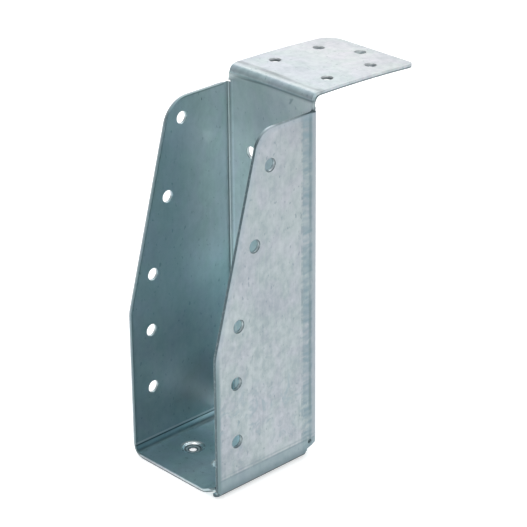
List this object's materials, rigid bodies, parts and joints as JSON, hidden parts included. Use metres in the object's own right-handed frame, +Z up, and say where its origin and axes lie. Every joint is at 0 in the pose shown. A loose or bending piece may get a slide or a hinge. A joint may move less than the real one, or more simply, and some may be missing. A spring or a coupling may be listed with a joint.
{
  "type": "joist hanger",
  "caption": "Face and top fixed joist hanger, folded from one galvanised sheet: seat between two side walls, back plate and a lip over the header.",
  "frame": {"origin": "under the seat, in the plane of the back plate's rear face, mid-width between the side walls", "axes": "+Z up along the side walls, +Y from the back plate towards the header that the lip lies on, +X to the right seen from the joist's side"},
  "size_m": [0.049, 0.106, 0.149],
  "materials": {
    "zinc_sheet": "hot-dip galvanised, satin"
  },
  "bodies": {
    "root": {"hanger": "zinc_sheet"}
  },
  "joints": []
}
